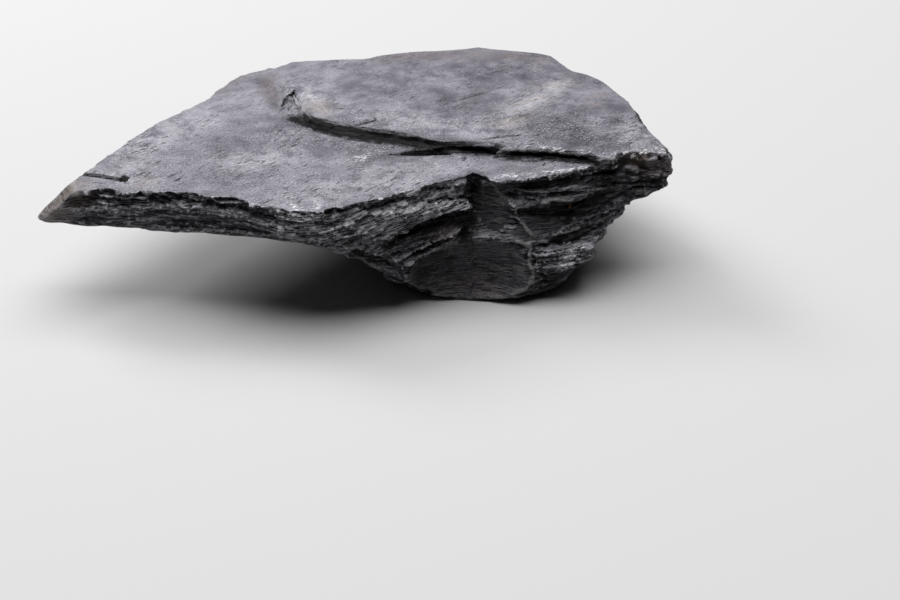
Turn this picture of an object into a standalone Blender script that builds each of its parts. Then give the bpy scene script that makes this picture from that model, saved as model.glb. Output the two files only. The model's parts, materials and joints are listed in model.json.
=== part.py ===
"""Slate rock: one broken slab of layered stone. Its top is a flat cleavage face with a thin raised
cap at the back, its front is a broken wall of sheet edges, and a thick keel under the middle
carries it. Metres, +Z up. The front faces -Y, and the origin is under the middle, on the ground."""

import math

import bmesh
import bpy
from mathutils import Vector, noise

MM = 0.001

# Driving dimensions, in millimetres
CAP_LEVEL = 33.6  # highest face
CAP_STEP = 32.3  # the cap is two sheets thick
TOP_LEVEL = 31.0  # main cleavage face
GROUND = 0.0  # the keel is cleaved flat here
SHEET_HEIGHT = 1.25  # one sheet of the slab
OVERLAP = 0.3  # neighbouring sheets share this much height, so that they fuse
BREAK_STEP = 1.2  # spacing of the points along a broken edge
LONG_WAVE = 15.0  # length of the wide bays along a broken edge
SHORT_WAVE = 4.0  # length of the splinters along it
CHIP_WAVE = 2.5  # width of the small chips out of it
BAY_DEPTH = 1.1  # depth of the wide bays, as a share of how unevenly the sheet broke
SPLINTER_DEPTH = 0.5  # depth of the splinters, in the same way
CHIP_DEPTH = 1.4  # depth of the chips, in the same way
CHIP_START = 0.2  # a chip is out only where its noise is above this
WAVE_STEPS = (3.1, 5.7, 7.9)  # from one sheet to the next, in the noise of bays, splinters and chips
CAP_UNEVENNESS = 0.35  # how unevenly the cap's sheets broke
CAP_SEED = 61  # seed of the cap's lower sheet; the upper one has the next
SLAB_UNEVENNESS = 0.5  # how unevenly the loose slabs broke
SLAB_SEED = 71  # seed of the first loose slab
FUSE_SIZE = 0.72  # grain at which the sheets are fused
TRIANGLES_KEPT = 0.075  # share of the fused surface's triangles
KEEL_CENTRE = Vector((28, -12))  # every sheet is drawn out from here
CUT_BOX = Vector((200, 160, 20))  # box that cleaves a face flat, larger than the rock

# Rear edge of the top face, from the right corner round the back to the left tip
REAR_EDGE = [
    (75, -13), (72.5, -6), (70.5, 0), (69.5, 7), (68, 13), (65, 19), (62.5, 25), (59, 29.5),
    (55, 32), (52.5, 37), (49.5, 42.5), (46, 44.5), (37, 46.5), (30, 48.5), (26, 47), (12, 45.5),
    (4.5, 43), (1, 40.5), (-10, 39.5), (-24, 39), (-30, 37.5), (-33.5, 34.5), (-36, 29.5),
    (-38.3, 22), (-42.3, 16), (-46.5, 10), (-52, 3.5), (-57, -5.5), (-62, -16), (-66.5, -26),
]

# Front edges of the slab at four levels, from the left tip to the right corner
TOP_FRONT = [
    (-70.5, -34.2), (-69.5, -36), (-66.5, -35.7), (-60, -36), (-53.5, -37), (-46, -36.5), (-39, -37),
    (-35, -39), (-30.5, -40.5), (-24, -42.5), (-18, -46.5), (-13.5, -48.5), (-9.5, -48.5),
    (-5.5, -47.5), (1.5, -43), (10.5, -37.7), (18.5, -32.3), (25.5, -28.5), (29, -29.5),
    (33.5, -29.7), (42, -27), (49, -26), (57.5, -22.5), (62, -20.6), (69, -20), (76, -19.5),
    (77, -16.5),
]
UPPER_FRONT = [
    (-73, -33.4), (-72, -36.2), (-66, -35.6), (-46, -35.6), (-36, -38), (-24, -41.8), (-15, -47.6),
    (-8, -47.4), (2, -42.2), (11, -37), (19, -31.6), (26, -26.6), (31, -25.4), (35, -27.4),
    (43, -25.8), (51, -24.8), (58, -21.6), (64, -21), (70, -21.6), (76, -21), (77.4, -17),
]
MIDDLE_FRONT = [
    (-75.4, -32.8), (-74.4, -36), (-60, -37), (-46, -37.6), (-36, -39.8), (-24, -43.4), (-15, -49),
    (-7, -48.6), (2, -44), (12, -38.8), (20, -33.8), (26, -28.8), (30.5, -25.8), (35.5, -28.4),
    (43, -28.6), (51, -27.6), (59, -24.4), (66, -22.6), (73, -22), (76, -19.5), (75, -14),
]
LOWER_FRONT = [
    (-77.4, -32.6), (-75.8, -35.6), (-60, -37), (-46, -37.4), (-36, -38.6), (-24, -41), (-14, -44.6),
    (-6, -45.6), (3, -42.4), (12, -37.6), (20, -32.8), (26, -28), (31, -25.6), (36, -27.4),
    (44, -28), (52, -26.4), (58, -22.8), (65, -21), (71.5, -20), (70, -12),
]

# Closed outlines of the underside, from the root of the keel down to the ground
ROOT_OUTLINE = [
    (-48, -35.8), (-36, -37), (-24, -38.6), (-14, -41), (-5, -44.8), (5, -42), (15, -37),
    (23, -32.4), (27, -27.8), (31, -26), (35, -27.8), (42, -29), (50, -28.6), (57, -25.4),
    (64, -22), (67.5, -18), (66, -6), (60, 9), (52, 21), (44, 31), (32, 37), (16, 37), (0, 33),
    (-16, 29), (-27, 22), (-36, 8), (-44, -10), (-50, -24),
]
SHOULDER_OUTLINE = [
    (-1.5, -44.6), (3, -43), (8, -40.8), (15, -37.4), (23, -33.8), (27, -28.6), (31, -27.2),
    (36, -29.4), (44, -30.2), (52, -28.8), (59, -25.6), (64.5, -20.6), (64, -12), (60, 0),
    (54, 12), (47, 22), (38, 29), (26, 33), (12, 31), (-4, 26), (-15, 17), (-23, 4), (-26, -12),
    (-18, -32),
]
BELLY_OUTLINE = [
    (5, -41.6), (10, -39.8), (17, -36.4), (24, -34), (32, -32.4), (40, -32.2), (48, -31.4),
    (55, -29.4), (60.6, -25), (61, -16), (58, -4), (53, 8), (45, 18), (35, 25), (22, 28), (8, 25),
    (-4, 18), (-11, 7), (-14, -8), (-7, -27),
]
KEEL_OUTLINE = [
    (12.6, -38), (20, -36.6), (30, -36), (41, -35), (48, -33.4), (53.6, -30), (56.4, -25),
    (56, -13), (51, 0), (44, 12), (34, 20), (22, 22), (9, 19), (0, 12), (-5, 2), (-4, -14),
    (5, -30),
]
FOOT_OUTLINE = [
    (19.6, -35), (27, -36.6), (34, -36.6), (40, -35.6), (46, -32.4), (51, -28), (52.5, -20),
    (50, -8), (44, 5), (34, 14), (22, 17), (10, 14), (2, 6), (0, -8), (6, -23), (13, -30),
]
SOLE_OUTLINE = [
    (20, -29.4), (27, -31), (33.5, -31), (40, -29.6), (46, -26), (49, -19), (47, -8), (41, 3),
    (32, 10), (21, 12), (11, 9), (4, 2), (3, -9), (8, -20), (13, -25),
]

# Level, outline there, how far the rear edge has drawn in, and how unevenly the sheets broke
KEY_LEVELS = [
    (TOP_LEVEL, TOP_FRONT, 0.0, 0.3),
    (28.2, UPPER_FRONT, 1.0, 0.7),
    (25.6, MIDDLE_FRONT, 2.4, 0.9),
    (22.3, LOWER_FRONT, 5.5, 0.9),
    (20.2, ROOT_OUTLINE, None, 0.8),
    (18.2, SHOULDER_OUTLINE, None, 0.9),
    (14.3, BELLY_OUTLINE, None, 1.0),
    (7.4, KEEL_OUTLINE, None, 0.9),
    (3.0, FOOT_OUTLINE, None, 0.7),
    (-1.0, SOLE_OUTLINE, None, 0.6),
]

# Front-left edges of the cap's two sheets; the back of both follows the slab. The upper sheet juts
# out over the lower one in the middle, the lower one stands out left of that, and a tongue of both
# points left under the upper one's right end
CAP_FRONT = [
    (-19.5, 38.8), (-20, 30), (-19.4, 22), (-17.9, 17.8), (-14.8, 6.7), (-12.4, 1.6), (-5.2, -2.1),
    (3.4, -5.5), (11.5, -9), (15, -11.6), (18.9, -13.2), (23.5, -13.5), (29.1, -13.2), (34.7, -14.7),
    (36.6, -15.7), (33.4, -17), (43.6, -17.5), (49, -18.1), (55, -20), (61, -21.9), (64.5, -21.2),
    (70, -20.4), (76, -19.5),
]
CAP_STEP_FRONT = [
    (-20, 38.8), (-21, 30), (-20.8, 20), (-19.8, 10), (-18.6, 4.8), (-12.6, -0.2), (-7, -3.8),
    (-2.5, -6), (3.8, -8.1), (10, -9.8), (13, -11), (18, -11.4), (28, -11.4), (36, -14.4),
    (33, -17.6), (39.3, -18.8), (46.6, -20), (54, -21), (60.4, -21.8), (64, -21.6), (70, -20.8),
    (76, -19.5),
]
CAP_REAR_POINTS = 19  # points of the rear edge that the cap reaches

# Loose-edged slabs: plan outline, level of the top at the hinge, thickness, hinge and rise
# for each millimetre along X
LOOSE_SLABS = {
    "cap_ramp": ([(-32, 30), (-29, 20), (-22, 12), (-16, 12), (-16, 38.6), (-24, 38.6), (-30, 37)],
                 31.0, 2.0, -31, 0.17),
    "upper_tongue": ([(-2, -46.6), (8, -41.6), (17, -36.6), (24, -32.6), (28.8, -30.2),
                      (27.5, -27.8), (18, -26), (0, -36)], 25.0, 1.7, 0, 0),
    "lower_tongue": ([(2, -44.2), (10, -41), (18, -37.4), (24.4, -33.8), (23.4, -30), (10, -30)],
                     19.2, 1.9, 0, 0),
    "dipping_sheet": ([(-16, -46.8), (-8, -47), (-1, -45.2), (6, -42), (6, -28), (-12, -28)],
                      25.0, 2.0, -12, -0.42),
    "dipping_step": ([(-4, -45), (4, -42), (13.6, -38.2), (15, -35), (8, -26), (-4, -28)],
                     17.4, 2.4, 4, -0.92),
    "right_ledge": ([(34.5, -28.8), (42, -29.4), (50, -28.8), (57, -25.4), (50, -15), (34, -18)],
                    24.9, 1.6, 34, 0.05),
    "right_shelf": ([(40, -30.4), (49, -30.4), (57, -27.4), (60, -22), (50, -15), (40, -18)],
                    17.8, 2.4, 40, 0.06),
    "corner_block": ([(42.6, -34), (50, -33.4), (56, -30.8), (58.4, -27), (56, -14), (44, -18)],
                     13.2, 4.8, 46, 0.06),
}

# Scooped breaks: centre, radii and turn in degrees
HOLLOWS = {
    "shell_hollow": ((28.5, -39, 9.4), (16, 8.6, 10), (0, -12, 0)),
    "notch": ((29.2, -31, 28.5), (3.8, 4.6, 6.5), (6, 0, 0)),
    "notch_tail": ((27.4, -34.5, 19.5), (2.8, 4.2, 6), (0, 20, 0)),
    "pit": ((50.5, -31.5, 20.6), (3.2, 4.4, 1.9), (0, -8, 0)),
    "left_chip": ((-8, -52, 26.5), (11, 4.2, 2.2), (0, 4, 0)),
    "tip_chip": ((-61, -38.6, 28.6), (8, 2.6, 2.4), (0, 2, 3)),
    "trough": ((-24.8, 25, 35.3), (3.6, 15, 4.1), (0, 0, 14)),
    "trough_mouth": ((-22.5, 8.5, 36.2), (7.2, 9, 5.1), (0, 0, 14)),
    "corner_scoop": ((66.5, -23, 32), (3.4, 3, 2.4), (0, 0, 8)),
    "rim_overhang": ((46.5, -28, 28.1), (12.5, 3.6, 1.3), (0, -2, 12)),
    "tongue_gap": ((20.2, -33.4, 22.1), (8.5, 3.2, 1.4), (0, -8, 30)),
}

# The tip is bevelled: a point on the flat break and its outward direction
TIP_BREAK = (Vector((-66.6, -35.5, TOP_LEVEL)), Vector((-0.643, -0.188, 0.743)))


def dense(outline):
    """The closed outline with a point about every BREAK_STEP."""
    points = []
    for index, point in enumerate(outline):
        start = Vector(point)
        run = Vector(outline[(index + 1) % len(outline)]) - start
        count = max(1, round(run.length / BREAK_STEP))
        points += [start + run * (part / count) for part in range(count)]
    return points


def outward(points, index):
    """Unit vector out of a counterclockwise outline at one of its points."""
    along = (points[(index + 1) % len(points)] - points[index - 1]).normalized()
    return Vector((along.y, -along.x))


def inset(outline, depth):
    points = [Vector(point) for point in outline]
    return [point - outward(points, index) * depth for index, point in enumerate(points)]


def reach(outline, direction):
    """How far the closed outline lies from the keel's centre in one direction."""
    found = 0.0
    for index, point in enumerate(outline):
        start = Vector(point) - KEEL_CENTRE
        run = Vector(outline[(index + 1) % len(outline)]) - Vector(point)
        across = direction.x * run.y - direction.y * run.x
        if abs(across) > 1e-9:
            along_ray = (start.x * run.y - start.y * run.x) / across
            along_edge = (start.x * direction.y - start.y * direction.x) / across
            if 0 <= along_edge <= 1:
                found = max(found, along_ray)
    return found


def wave(point, length, layer):
    """Smooth noise from about -1 to 1 with the given wavelength, different in each layer."""
    return noise.noise(Vector((point.x / length, point.y / length, layer)))


def broken_edge(points, unevenness, seed):
    """Moves an outline in and out as the edge of a snapped sheet runs."""
    broken = []
    for index, point in enumerate(points):
        bay = wave(point, LONG_WAVE, seed * WAVE_STEPS[0])
        splinter = wave(point, SHORT_WAVE, seed * WAVE_STEPS[1])
        chip = max(0.0, wave(point, CHIP_WAVE, seed * WAVE_STEPS[2]) - CHIP_START)
        shift = unevenness * (BAY_DEPTH * bay + SPLINTER_DEPTH * splinter - CHIP_DEPTH * chip)
        broken.append(point + outward(points, index) * shift)
    return broken


def sheet(outline, low, high):
    """One flat sheet of stone between two levels, as a closed mesh."""
    curve = bpy.data.curves.new("sheet", "CURVE")
    curve.dimensions = "2D"
    curve.fill_mode = "BOTH"
    curve.extrude = (high - low) / 2 * MM
    spline = curve.splines.new("POLY")
    spline.points.add(len(outline) - 1)
    for point, place in zip(spline.points, outline):
        point.co = (place.x * MM, place.y * MM, 0, 1)
    spline.use_cyclic_u = True
    drawn = bpy.data.objects.new("sheet", curve)
    bpy.context.scene.collection.objects.link(drawn)
    drawn.location.z = (high + low) / 2 * MM
    bpy.context.view_layer.update()
    graph = bpy.context.evaluated_depsgraph_get()
    mesh = bpy.data.meshes.new_from_object(drawn.evaluated_get(graph))
    mesh.transform(drawn.matrix_world)
    bpy.data.objects.remove(drawn)
    bpy.data.curves.remove(curve)
    return mesh


def slab_outlines():
    """The closed outline of the slab at every key level, from the top down."""
    closed = []
    for level, outline, rear_inset, unevenness in KEY_LEVELS:
        if rear_inset is not None:
            outline = outline + inset(REAR_EDGE, rear_inset)
        closed.append((level, outline, unevenness))
    return closed


def add_slab(stack):
    """Sheets from the top face down to the ground, each drawn between the two nearest outlines."""
    keys = slab_outlines()
    seed = 1
    for upper, lower in zip(keys, keys[1:]):
        count = round((upper[0] - lower[0]) / SHEET_HEIGHT)
        guide = dense(upper[1])
        for index in range(count):
            high = upper[0] + (lower[0] - upper[0]) * index / count
            low = upper[0] + (lower[0] - upper[0]) * (index + 1) / count
            blend = 0 if index == 0 and seed == 1 else (index + 0.5) / count
            points = []
            for point in guide:
                direction = (point - KEEL_CENTRE).normalized()
                far = (point - KEEL_CENTRE).length
                near = reach(lower[1], direction)
                points.append(KEEL_CENTRE + direction * (far + (near - far) * blend))
            unevenness = upper[2] + (lower[2] - upper[2]) * blend
            add_sheet(stack, broken_edge(points, unevenness, seed), low - OVERLAP, high)
            seed += 1


def add_sheet(stack, outline, low, high, hinge=0.0, rise=0.0):
    mesh = sheet(outline, low, high)
    for vert in mesh.vertices:
        vert.co.z += (vert.co.x - hinge * MM) * rise
    stack.from_mesh(mesh)
    bpy.data.meshes.remove(mesh)


def add_cap(stack):
    rear = REAR_EDGE[:CAP_REAR_POINTS]
    lower = broken_edge(dense(CAP_STEP_FRONT + rear), CAP_UNEVENNESS, CAP_SEED)
    upper = broken_edge(dense(CAP_FRONT + rear), CAP_UNEVENNESS, CAP_SEED + 1)
    add_sheet(stack, lower, TOP_LEVEL - OVERLAP, CAP_STEP)
    add_sheet(stack, upper, CAP_STEP - OVERLAP, CAP_LEVEL)


def add_loose_slabs(stack):
    for seed, (outline, top, thickness, hinge, rise) in enumerate(LOOSE_SLABS.values(), SLAB_SEED):
        edge = broken_edge(dense(outline), SLAB_UNEVENNESS, seed)
        add_sheet(stack, edge, top - thickness, top, hinge, rise)


def stacked_sheets():
    stack = bmesh.new()
    add_slab(stack)
    add_cap(stack)
    add_loose_slabs(stack)
    bmesh.ops.remove_doubles(stack, verts=stack.verts, dist=0.001 * MM)
    mesh = bpy.data.meshes.new("slate_rock")
    stack.to_mesh(mesh)
    stack.free()
    return mesh


def hollow_cutter(name, place, radii, turn):
    """A sphere stretched to three radii, for a scooped break."""
    ball = bmesh.new()
    bmesh.ops.create_uvsphere(ball, u_segments=28, v_segments=18, radius=1.0)
    bmesh.ops.scale(ball, vec=Vector(radii) * MM, verts=ball.verts)
    mesh = bpy.data.meshes.new(name)
    ball.to_mesh(mesh)
    ball.free()
    made = bpy.data.objects.new(name, mesh)
    made.location = Vector(place) * MM
    made.rotation_euler = [math.radians(angle) for angle in turn]
    return made


def flat_cutter(name, place, direction):
    """A box with one face through the place, which breaks off all that lies out along direction."""
    box = bmesh.new()
    bmesh.ops.create_cube(box, size=1.0)
    bmesh.ops.scale(box, vec=CUT_BOX * MM, verts=box.verts)
    mesh = bpy.data.meshes.new(name)
    box.to_mesh(mesh)
    box.free()
    made = bpy.data.objects.new(name, mesh)
    made.location = (place + direction.normalized() * CUT_BOX.z / 2) * MM
    made.rotation_euler = direction.to_track_quat("Z", "Y").to_euler()
    return made


def add_modifier(rock, kind, **settings):
    modifier = rock.modifiers.new(kind.lower(), kind)
    for key, value in settings.items():
        setattr(modifier, key, value)
    return modifier


def slate_material():
    """Dry slate: violet-grey, matt, with no metal in it."""
    material = bpy.data.materials.new("slate")
    material.use_nodes = True
    shader = material.node_tree.nodes["Principled BSDF"]
    shader.inputs["Base Color"].default_value = (0.085, 0.084, 0.092, 1)
    shader.inputs["Roughness"].default_value = 0.7
    shader.inputs["Metallic"].default_value = 0.0
    return material


def centre(rock):
    """Moves the rock, with its cutters, so that the origin lies under its middle."""
    bpy.context.view_layer.update()
    graph = bpy.context.evaluated_depsgraph_get()
    box = [Vector(corner) for corner in rock.evaluated_get(graph).bound_box]
    middle = (min(box, key=sum) + max(box, key=sum)) / 2
    rock.location = (-middle.x, -middle.y, 0)


def main():
    for old in list(bpy.data.objects):
        bpy.data.objects.remove(old)
    parts = bpy.data.collections.new("slate_rock")
    tools = bpy.data.collections.new("cutters")
    bpy.context.scene.collection.children.link(parts)
    bpy.context.scene.collection.children.link(tools)

    rock = bpy.data.objects.new("slate_rock", stacked_sheets())
    parts.objects.link(rock)
    rock.data.materials.clear()
    rock.data.materials.append(slate_material())
    add_modifier(rock, "REMESH", mode="VOXEL", voxel_size=FUSE_SIZE * MM)
    ground_cut = flat_cutter("ground_cut", Vector((0, 0, GROUND)), Vector((0, 0, -1)))
    cutters = [hollow_cutter(name, *shape) for name, shape in HOLLOWS.items()]
    cutters.append(flat_cutter("tip_break", *TIP_BREAK))
    for tool in cutters + [ground_cut]:
        tools.objects.link(tool)
        tool.parent = rock
        tool.hide_render = True
        tool.display_type = "WIRE"
    for tool in cutters:
        add_modifier(rock, "BOOLEAN", operation="DIFFERENCE", object=tool)
    add_modifier(rock, "REMESH", mode="VOXEL", voxel_size=FUSE_SIZE * MM)
    add_modifier(rock, "DECIMATE", ratio=TRIANGLES_KEPT)
    add_modifier(rock, "BOOLEAN", operation="DIFFERENCE", object=ground_cut)
    centre(rock)


main()
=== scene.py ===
"""Looks of the slate rock: its layered break, dusty cleavage face, cracks, scuffs and stains."""
import bisect
import json
import math
import random

import bpy
import numpy as np
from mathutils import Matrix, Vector, noise

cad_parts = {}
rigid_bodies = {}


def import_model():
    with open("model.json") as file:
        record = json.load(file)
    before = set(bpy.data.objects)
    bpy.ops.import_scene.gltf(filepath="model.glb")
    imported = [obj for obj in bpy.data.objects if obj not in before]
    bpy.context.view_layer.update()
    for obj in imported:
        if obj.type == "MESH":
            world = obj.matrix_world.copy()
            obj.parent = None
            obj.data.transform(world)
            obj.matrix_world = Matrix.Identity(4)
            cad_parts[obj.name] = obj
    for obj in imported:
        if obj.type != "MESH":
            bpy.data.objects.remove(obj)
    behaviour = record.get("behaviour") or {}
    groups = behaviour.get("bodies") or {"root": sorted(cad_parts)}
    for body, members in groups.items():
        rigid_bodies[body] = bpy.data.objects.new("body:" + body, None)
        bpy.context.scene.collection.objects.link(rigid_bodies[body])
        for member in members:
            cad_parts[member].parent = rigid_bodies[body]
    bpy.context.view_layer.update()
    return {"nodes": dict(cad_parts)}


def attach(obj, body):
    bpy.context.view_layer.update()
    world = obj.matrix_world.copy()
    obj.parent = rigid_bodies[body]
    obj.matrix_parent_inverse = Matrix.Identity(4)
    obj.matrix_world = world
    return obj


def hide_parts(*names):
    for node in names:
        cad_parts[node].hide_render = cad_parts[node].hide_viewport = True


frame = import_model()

MM = 0.001

# All places and sizes below are in millimetres, in the frame of the stone
TOP_LEVEL = 31.0
CAP_LEVEL = 33.6

# Camera: foot of its axis on the ground, and how it looks at it
VIEW_FOOT = (22.2, -32.9)
VIEW_DISTANCE = 612.0
VIEW_PITCH = 28.0
LENS = 100.0
SENSOR = 36.0
NEAREST_SEEN = 10.0

# Grain of the fine surface, and the most triangles that it keeps
GRAIN = 0.3
MOST_TRIANGLES = 194000
SAME_POINT = 0.001  # points of the solid that are closer than this are one
SMOOTH_ANGLE = 32.0  # where faces meet more sharply than this, the edge stays crisp

# Broken front of the cap as seen from above: its upper edge and its foot, point by point, from the
# fin at the left to the right corner, and the space before it
CAP_EDGE = [
    (-17.5, 18.1), (-15.9, 12.3), (-14.8, 6.7), (-12.4, 2.9), (-9.9, 1.2), (-6, -1.7), (-2.6, -3.3),
    (3.6, -4.9), (9, -6.6), (11.1, -7.6), (13.8, -9.3), (16.1, -11.1), (19.3, -12.9), (23.5, -13.5),
    (29.1, -13.2), (31.5, -13.8), (34.7, -14.7), (36.8, -15.8), (33.2, -17), (37.3, -17.5),
    (40.7, -18.2), (45.9, -17.9), (49.5, -18.8), (52.1, -19.8), (59.1, -21.6), (62, -22.4),
]
CAP_FOOT = [
    (-20.3, 16.6), (-19.6, 11.8), (-18.7, 5.8), (-13.7, 1), (-11.3, -1.4), (-7, -4.2), (-2.6, -6.3),
    (3.8, -8.6), (10, -10.1), (11.1, -10.7), (13.4, -12.1), (15.8, -14.2), (19.8, -14.6), (23.5, -14.4),
    (29.1, -14.1), (31.6, -14.2), (33.4, -15.4), (35, -16), (33, -17.2), (36.1, -18.4),
    (40.8, -19.4), (43.9, -19.2), (47.6, -19), (50.4, -19.4), (56, -20.6), (60.4, -21.6),
]
CAP_FOREGROUND = [(64.0, -60.0), (-19.6, -60.0), (-19.6, 4.0), (-20.5, 16.4)]
# Its sheets from the top down: level of the underside, and how far its front lies towards the foot
CAP_SHEETS = ((33.0, 0.05), (32.5, 0.45), (32.0, 0.3), (31.5, 0.75), (31.1, 1.0))
CLEAR_ABOVE = 10.0  # how far the space before the uppermost sheet reaches above it
OVERLAP = 0.02  # how far the spaces before neighbouring sheets overlap
FIN_FRONT = 7.0  # behind this the cap's break is the worn facet of the fin
FIN_LEFT = -20.6
FIN_BACK = 18.6
FIN_SHADE = 0.7  # share of the broken colours on that facet

# A thin sheet in front of the cap's break that rises to the right out of the slab: its plan, where
# its top leaves the slab and where it meets the cap
TONGUE = [
    (33.6, -15.3), (31, -14.9), (28, -14.4), (24, -14.5), (19.8, -14.8), (15.5, -14.9), (12, -14.9),
    (9, -14.7), (12, -13.4), (15, -11.5), (20, -11), (30, -11.5),
]
TONGUE_RISE = (9.0, 19.5)
TONGUE_LEVELS = (30.9, 33.3)
TONGUE_ROOT = 1.0  # depth in the slab from which it rises

RAGGED_STEP = 0.8  # spacing of the points along a ragged edge
RAGGED_WAVE = 2.2  # length of its teeth
RAGGED_DEPTH = 0.8  # how far they stand out
WORN_RAGGEDNESS = 0.15  # share of that depth along the fin
EDGE_STEP = 5.0  # step through the noise from one ragged edge to the next

# Gaps that opened between sheets, and pieces that broke out: middle, radii, turn in degrees
GAPS = (
    ((25.5, -15, 32), (8, 2.4, 0.6), (0, 0, 3)),
    ((46, -19.6, 32.1), (8.5, 2.4, 0.5), (0, 0, -9)),
    ((18.5, -33.6, 21.6), (14, 3, 0.8), (0, -9, 30)),
    ((17, -36, 16.2), (8.5, 2.6, 0.7), (0, -16, 28)),
    ((7.6, -41.6, 16.7), (2.6, 2.2, 0.5), (0, 6, 18)),
    ((65.6, -21.6, 32.6), (3.4, 2.2, 2), (0, 0, 8)),
    ((70.6, -20.4, 33.2), (1.3, 1.6, 0.9), (0, 10, 0)),
    ((73.2, -19.4, 32.2), (1.2, 1.3, 0.8), (0, -20, 0)),
    ((75.4, -18, 32.8), (1.2, 1.5, 1), (0, 25, 20)),
    ((69, -20.8, 30.2), (1.6, 1.2, 0.8), (0, 15, 0)),
)
GAP_RAGGEDNESS = 0.8
GAP_WAVES = Vector((2.6, 1.5, 1.5))
GAP_STEP = 3.3  # step through the noise from one gap to the next
BALL_SEGMENTS = 40

# Rim of the top as seen from above from the left tip, and how many chips broke out of it
RIM = [
    (-66.5, -35.9), (-46, -36.7), (-30.5, -40.7), (-18, -46.7), (-9.5, -48.7), (1.5, -43.2),
    (14, -35.6), (25, -28.8), (33.5, -29.9), (49, -26.2), (60, -21.4),
]
RIM_CHIPS = 46
RIM_CHIP_SEED = 11
RIM_CHIP_OUT = (0.0, 0.9)  # how far their middles lie outside the rim
RIM_CHIP_DOWN = (-0.5, 1.6)  # and below the top
RIM_CHIP_RADII = ((1.2, 4.4), (0.8, 2.0), (0.7, 1.9))
RIM_CHIP_TILT = (15.0, 8.0)  # most degrees about X and Y
FINE_RIM = (6.0, 0.6)  # right of this place they have this share of their size

# Orders of layering: thinnest and thickest sheet, how far sheets break back, and length of a break
SHEETS = (
    (1.6, 3.4, 1, 18),
    (0.6, 1.4, 0.6, 8),
    (0.28, 0.6, 0.25, 5),
)
LEVELS_FROM = -14.0
LEVELS_TO = 60.0
SHEET_SEED = 7
SNAP_PACE = 1.9  # how much faster sheets snap off and stay in turn than their edges run in and out
SNAP_LIMIT = 0.12  # value of the noise above which a sheet stays
SNAPPED = (0.45, -0.2)  # how far a sheet that stays or snapped off stands out, as a share of its depth
UPRIGHT_ORDERS = 2  # orders of layering whose sheets end in upright faces
UPRIGHTNESS = 0.5
STEEPEST = 1.5  # most that the slope of the wall counts

# Steps through the noise, so that every sheet, order and cell breaks in its own way
RUN_STEP = 7.31
SNAP_STEP = 5.17
SNAP_START = 40.0
ORDER_STEP = 3.7
CELL_STEP = 9.7

# How the bedding runs: gentle waves, a climb towards the notch, a steep dip in the block under the
# middle of the front wall, and a slight tilt right of the notch
BED_WAVE = 0.9
BED_LENGTH = 38.0
BED_SLICE = 1.7  # slice of the noise that these waves are
FRONT_WALL = -20.0
NOTCH = 27.5
RIGHT_TILT = 0.04
CLIMB = 0.12
CLIMB_FROM = -6.0
BLOCK_LEFT = -14.0
BLOCK_TOP = 23.5
BLOCK_TOP_DIP = 0.4
BLOCK_DIP = 0.5
HOLLOW_LEFT = 11.0
HOLLOW_TOP = 14.5

# Splinters of the wall: length, thickness, and how far they are gone at most
SPLINTER_LENGTH = 5.5
SPLINTER_THICKNESS = 0.95
SPLINTER_DEPTH = 1.1
SPLINTERS_LEFT = 0.35  # share of them that still stands out

# Calm lower band of the wing, where long thin sheets end: its right end, top and calmness
CALM_RIGHT = -14.0
CALM_TOP = 27.0
CALMNESS = 0.5
CALM_FADE = (8.0, 1.5)  # lengths over which it ends at the right and at the top

# Blocky chips of the wall just under the rim of the wing: size and depth
CHIP_SIZE = 2.4
CHIP_DEPTH = 1.1
CHIP_FLATNESS = 1.4
CHIP_RARITY = 1.6  # the higher, the fewer chips are deep
CHIP_GRAIN = (1.1, 1.1, 0.8)  # size and height of their roughness
CHIP_ROUGHNESS = 0.35
CHIPS_FROM_LEVEL = (27.2, 28.6)  # levels between which they set in
CHIPS_TO_RIGHT = (4.0, 12.0)  # and places between which they end
CHIPS_TO_REAR = (-34.0, -30.0)

# Where the walls end, by how far up or down their faces look, and where they break up less
WALL_FACING = (0.6, 0.96)
LEAST_ASIDE = 0.1  # faces that look aside less than this stay
CAP_DEPTH = 0.5  # depth under the slab's top from which up the break is finer
CAP_FINENESS = 0.6
SMOOTHNESS = 0.88  # share of the fine break that a smooth face lacks

# Scooped breaks whose faces stayed smooth: middle, radii, turn about Y
SMOOTH_HOLLOWS = (
    ((28.3, -38.9, 9.4), (16, 8.6, 10), -12),
    ((44, -31, 18.6), (6.5, 4, 2.6), -14),
    ((33, -27.5, 22.5), (3.6, 4, 5.5), 0),
    ((-72.5, -32.5, 27.5), (6.5, 9, 5.5), 0),
)
SMOOTH_RIM = (1.0, 1.1)  # shares of the radii between which the smooth face ends

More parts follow.
